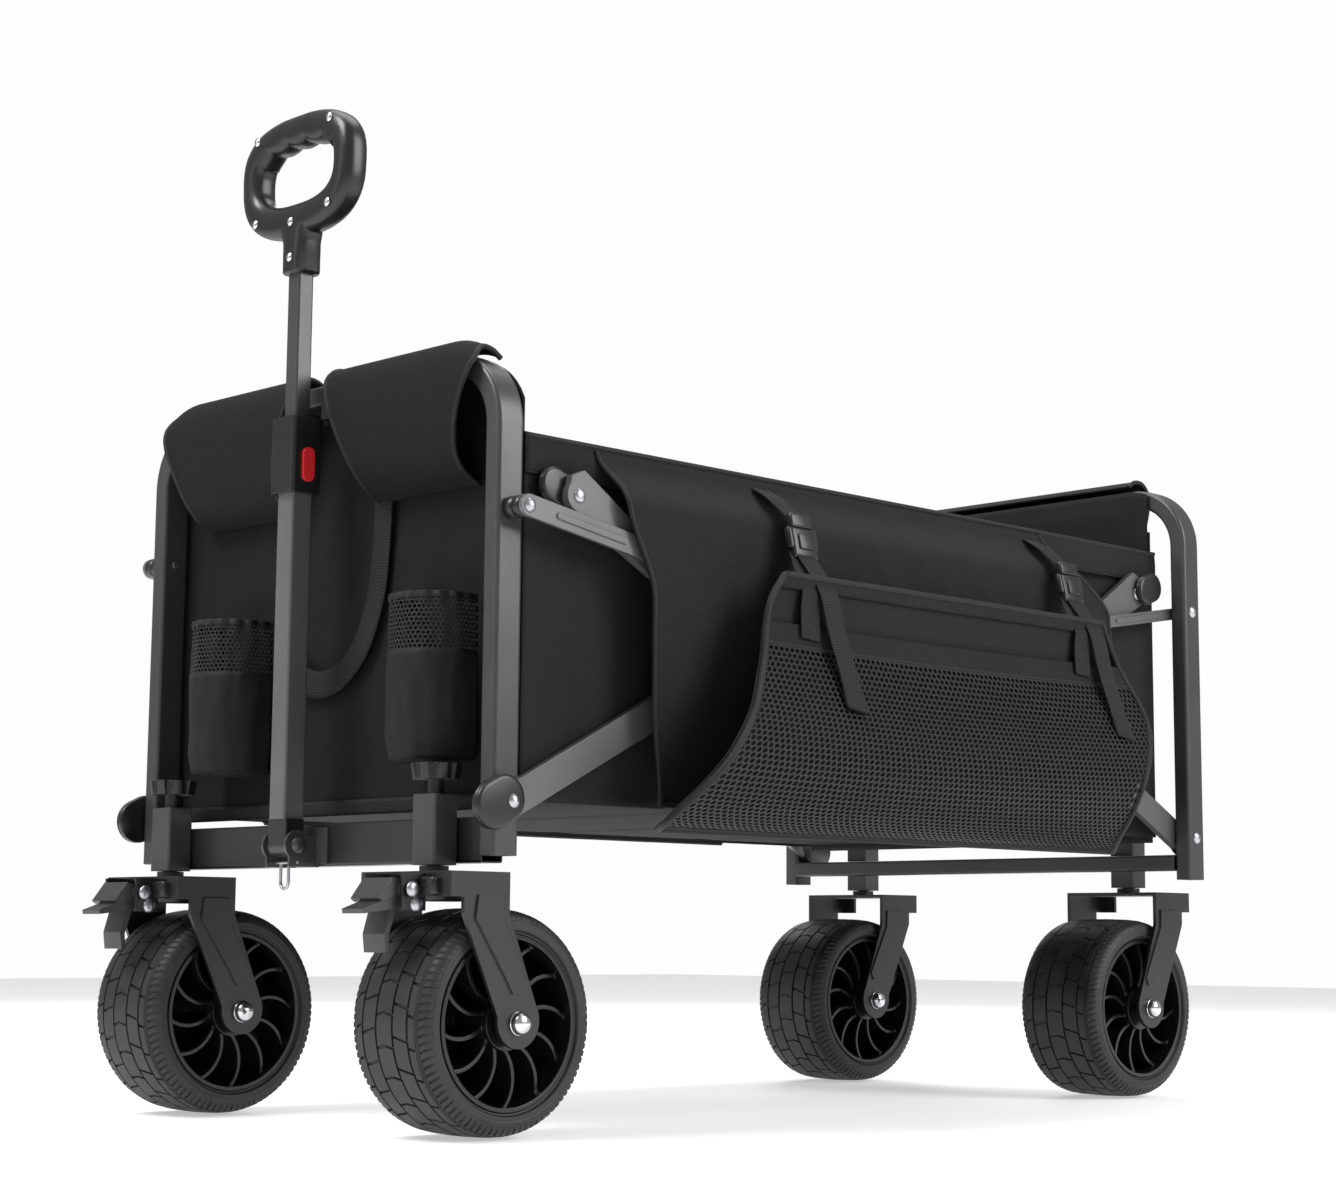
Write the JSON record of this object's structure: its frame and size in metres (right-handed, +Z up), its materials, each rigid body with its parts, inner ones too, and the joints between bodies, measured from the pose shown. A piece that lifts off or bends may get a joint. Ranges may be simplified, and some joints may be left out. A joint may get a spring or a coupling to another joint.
{
  "type": "folding_camp_wagon",
  "caption": "Folding camp wagon: padded fabric box in a double-scissor steel frame, swivel casters with fat tyres, telescopic pull handle, bottle pockets and a mesh side sling.",
  "frame": {"origin": "middle of the cargo floor's top face", "axes": "+X from the handle end to the rear end, the longest extent; +Z up out of the cargo floor"},
  "size_m": [1.1915, 0.7159, 0.96],
  "materials": {
    "black_enamel": "semi_gloss",
    "grey_enamel": "satin",
    "zinc_steel": "satin",
    "dark_chrome": "polished",
    "tyre_rubber": "matte",
    "black_plastic": "satin",
    "red_plastic": "gloss",
    "black_fabric": "matte",
    "mesh_fabric": "matte",
    "webbing": "matte"
  },
  "bodies": {
    "wagon_front": {"front_frame": "black_enamel", "front_crossbar": "black_enamel", "front_posts": "black_enamel", "front_rivets": "zinc_steel", "handle_bracket": "black_enamel", "handle_clip": "black_plastic", "front_wall": "black_fabric", "front_sleeves": "black_fabric", "bottle_pockets": "black_fabric", "side_wall_left": "black_fabric", "side_wall_right": "black_fabric", "floor_mat": "black_fabric", "side_cover_left": "black_fabric", "side_cover_right": "black_fabric", "sling_pocket": "mesh_fabric", "strap_buckle_front": "webbing", "strap_buckle_rear": "webbing"},
    "wagon_rear": {"rear_frame": "black_enamel", "rear_bar": "black_enamel", "rear_posts": "black_enamel", "rear_rivets": "zinc_steel", "rear_wall": "black_fabric", "rear_sleeve": "black_fabric"},
    "front_rising_brace_left_body": {"front_rising_brace_left": "black_enamel"},
    "front_falling_brace_left_body": {"front_falling_brace_left": "black_enamel"},
    "rear_rising_brace_left_body": {"rear_rising_brace_left": "black_enamel"},
    "rear_falling_brace_left_body": {"rear_falling_brace_left": "black_enamel"},
    "front_link_left_body": {"front_link_left": "black_enamel"},
    "rear_link_left_body": {"rear_link_left": "black_enamel"},
    "brake_left": {"brake_pedal_left": "black_enamel"},
    "post_knob_left": {"knob_left": "black_plastic"},
    "caster_front_left": {"fork_front_left": "black_enamel"},
    "wheel_front_left": {"tyre_front_left": "tyre_rubber", "rim_front_left": "black_plastic"},
    "caster_rear_left": {"fork_rear_left": "black_enamel"},
    "wheel_rear_left": {"tyre_rear_left": "tyre_rubber", "rim_rear_left": "black_plastic"},
    "front_rising_brace_right_body": {"front_rising_brace_right": "black_enamel"},
    "front_falling_brace_right_body": {"front_falling_brace_right": "black_enamel"},
    "rear_rising_brace_right_body": {"rear_rising_brace_right": "black_enamel"},
    "rear_falling_brace_right_body": {"rear_falling_brace_right": "black_enamel"},
    "front_link_right_body": {"front_link_right": "black_enamel"},
    "rear_link_right_body": {"rear_link_right": "black_enamel"},
    "brake_right": {"brake_pedal_right": "black_enamel"},
    "post_knob_right": {"knob_right": "black_plastic"},
    "caster_front_right": {"fork_front_right": "black_enamel"},
    "wheel_front_right": {"tyre_front_right": "tyre_rubber", "rim_front_right": "black_plastic"},
    "caster_rear_right": {"fork_rear_right": "black_enamel"},
    "wheel_rear_right": {"tyre_rear_right": "tyre_rubber", "rim_rear_right": "black_plastic"},
    "handle": {"handle_foot": "black_enamel", "handle_outer_tube": "black_enamel", "handle_collar": "black_plastic"},
    "handle_slider": {"handle_inner_tube": "grey_enamel", "handle_grip": "black_plastic", "grip_rivets": "dark_chrome"},
    "handle_button": {"release_button": "red_plastic"},
    "bail": {"wire_bail": "zinc_steel"}
  },
  "joints": [
    {"name": "fold", "type": "hinge", "parent": "wagon_front", "child": "front_rising_brace_left_body", "pos_m": [-0.5025, -0.2744, -0.015], "axis": [0, -1, 0], "range_deg": [0, 43], "deforming": ["side_wall_left", "side_wall_right", "floor_mat", "side_cover_left", "side_cover_right", "sling_pocket", "strap_buckle_front", "strap_buckle_rear"]},
    {"name": "front_crossing_left", "type": "hinge", "parent": "front_rising_brace_left_body", "child": "front_falling_brace_left_body", "pos_m": [-0.20014, -0.2838, 0.13906], "axis": [0, -1, 0], "range_deg": [-86, 0]},
    {"name": "middle_joint_left", "type": "hinge", "parent": "front_falling_brace_left_body", "child": "rear_rising_brace_left_body", "pos_m": [0, -0.2744, 0.03708], "axis": [0, -1, 0], "range_deg": [0, 86]},
    {"name": "rear_crossing_left", "type": "hinge", "parent": "rear_rising_brace_left_body", "child": "rear_falling_brace_left_body", "pos_m": [0.20014, -0.2838, 0.13906], "axis": [0, -1, 0], "range_deg": [-86, 0]},
    {"name": "front_upper_link_left", "type": "hinge", "parent": "wagon_front", "child": "front_link_left_body", "pos_m": [-0.5025, -0.2922, 0.243], "axis": [0, -1, 0], "range_deg": [0, 86]},
    {"name": "rear_upper_link_left", "type": "hinge", "parent": "wagon_rear", "child": "rear_link_left_body", "pos_m": [0.5025, -0.2848, 0.243], "axis": [0, -1, 0], "range_deg": [-86, 0]},
    {"name": "rear_end", "type": "hinge", "parent": "rear_falling_brace_left_body", "child": "wagon_rear", "pos_m": [0.5025, -0.2838, -0.015], "axis": [0, -1, 0], "range_deg": [0, 43]},
    {"name": "swivel_front_left", "type": "hinge", "parent": "wagon_front", "child": "caster_front_left", "pos_m": [-0.5275, -0.203, -0.07], "axis": [0, 0, 1], "continuous": true},
    {"name": "wheel_spin_front_left", "type": "hinge", "parent": "caster_front_left", "child": "wheel_front_left", "pos_m": [-0.4805, -0.203, -0.206], "axis": [0, 1, 0], "continuous": true},
    {"name": "swivel_rear_left", "type": "hinge", "parent": "wagon_rear", "child": "caster_rear_left", "pos_m": [0.519, -0.203, -0.07], "axis": [0, 0, 1], "continuous": true},
    {"name": "wheel_spin_rear_left", "type": "hinge", "parent": "caster_rear_left", "child": "wheel_rear_left", "pos_m": [0.472, -0.203, -0.206], "axis": [0, 1, 0], "continuous": true},
    {"name": "brake_left_press", "type": "hinge", "parent": "caster_front_left", "child": "brake_left", "pos_m": [-0.5765, -0.203, -0.092], "axis": [0, -1, 0], "range_deg": [0, 25]},
    {"name": "knob_left_turn", "type": "hinge", "parent": "wagon_front", "child": "post_knob_left", "pos_m": [-0.5275, -0.203, -0.008], "axis": [0, 0, 1], "range_deg": [0, 90]},
    {"name": "fold_right", "type": "hinge", "parent": "wagon_front", "child": "front_rising_brace_right_body", "pos_m": [-0.5025, 0.2744, -0.015], "axis": [0, -1, 0], "range_deg": [0, 43]},
    {"name": "front_crossing_right", "type": "hinge", "parent": "front_rising_brace_right_body", "child": "front_falling_brace_right_body", "pos_m": [-0.20014, 0.2838, 0.13906], "axis": [0, -1, 0], "range_deg": [-86, 0]},
    {"name": "middle_joint_right", "type": "hinge", "parent": "front_falling_brace_right_body", "child": "rear_rising_brace_right_body", "pos_m": [0, 0.2744, 0.03708], "axis": [0, -1, 0], "range_deg": [0, 86]},
    {"name": "rear_crossing_right", "type": "hinge", "parent": "rear_rising_brace_right_body", "child": "rear_falling_brace_right_body", "pos_m": [0.20014, 0.2838, 0.13906], "axis": [0, -1, 0], "range_deg": [-86, 0]},
    {"name": "front_upper_link_right", "type": "hinge", "parent": "wagon_front", "child": "front_link_right_body", "pos_m": [-0.5025, 0.2922, 0.243], "axis": [0, -1, 0], "range_deg": [0, 86]},
    {"name": "rear_upper_link_right", "type": "hinge", "parent": "wagon_rear", "child": "rear_link_right_body", "pos_m": [0.5025, 0.2848, 0.243], "axis": [0, -1, 0], "range_deg": [-86, 0]},
    {"name": "swivel_front_right", "type": "hinge", "parent": "wagon_front", "child": "caster_front_right", "pos_m": [-0.5275, 0.203, -0.07], "axis": [0, 0, 1], "continuous": true},
    {"name": "wheel_spin_front_right", "type": "hinge", "parent": "caster_front_right", "child": "wheel_front_right", "pos_m": [-0.4805, 0.203, -0.206], "axis": [0, 1, 0], "continuous": true},
    {"name": "swivel_rear_right", "type": "hinge", "parent": "wagon_rear", "child": "caster_rear_right", "pos_m": [0.519, 0.203, -0.07], "axis": [0, 0, 1], "continuous": true},
    {"name": "wheel_spin_rear_right", "type": "hinge", "parent": "caster_rear_right", "child": "wheel_rear_right", "pos_m": [0.472, 0.203, -0.206], "axis": [0, 1, 0], "continuous": true},
    {"name": "brake_right_press", "type": "hinge", "parent": "caster_front_right", "child": "brake_right", "pos_m": [-0.5765, 0.203, -0.092], "axis": [0, -1, 0], "range_deg": [0, 25]},
    {"name": "knob_right_turn", "type": "hinge", "parent": "wagon_front", "child": "post_knob_right", "pos_m": [-0.5275, 0.203, -0.008], "axis": [0, 0, 1], "range_deg": [0, 90]},
    {"name": "handle_tilt", "type": "hinge", "parent": "wagon_front", "child": "handle", "pos_m": [-0.5385, 0, -0.049], "axis": [0, -1, 0], "range_deg": [0, 100]},
    {"name": "handle_extend", "type": "slide", "parent": "handle", "child": "handle_slider", "axis": [0, 0, 1], "range_m": [-0.12, 0.17]},
    {"name": "button_press", "type": "slide", "parent": "handle", "child": "handle_button", "axis": [0, 1, 0], "range_m": [0, 0.003], "stiffness_N_per_m": 300},
    {"name": "bail_swing", "type": "hinge", "parent": "wagon_front", "child": "bail", "pos_m": [-0.5385, 0, -0.065], "axis": [0, -1, 0], "range_deg": [-60, 60]}
  ],
  "couplings": [
    {"joint": "rear_end", "follows": "fold", "ratio": 1},
    {"joint": "front_crossing_left", "follows": "fold", "ratio": -2},
    {"joint": "middle_joint_left", "follows": "fold", "ratio": 2},
    {"joint": "rear_crossing_left", "follows": "fold", "ratio": -2},
    {"joint": "front_upper_link_left", "follows": "fold", "ratio": 2},
    {"joint": "rear_upper_link_left", "follows": "fold", "ratio": -2},
    {"joint": "fold_right", "follows": "fold", "ratio": 1},
    {"joint": "front_crossing_right", "follows": "fold", "ratio": -2},
    {"joint": "middle_joint_right", "follows": "fold", "ratio": 2},
    {"joint": "rear_crossing_right", "follows": "fold", "ratio": -2},
    {"joint": "front_upper_link_right", "follows": "fold", "ratio": 2},
    {"joint": "rear_upper_link_right", "follows": "fold", "ratio": -2}
  ]
}
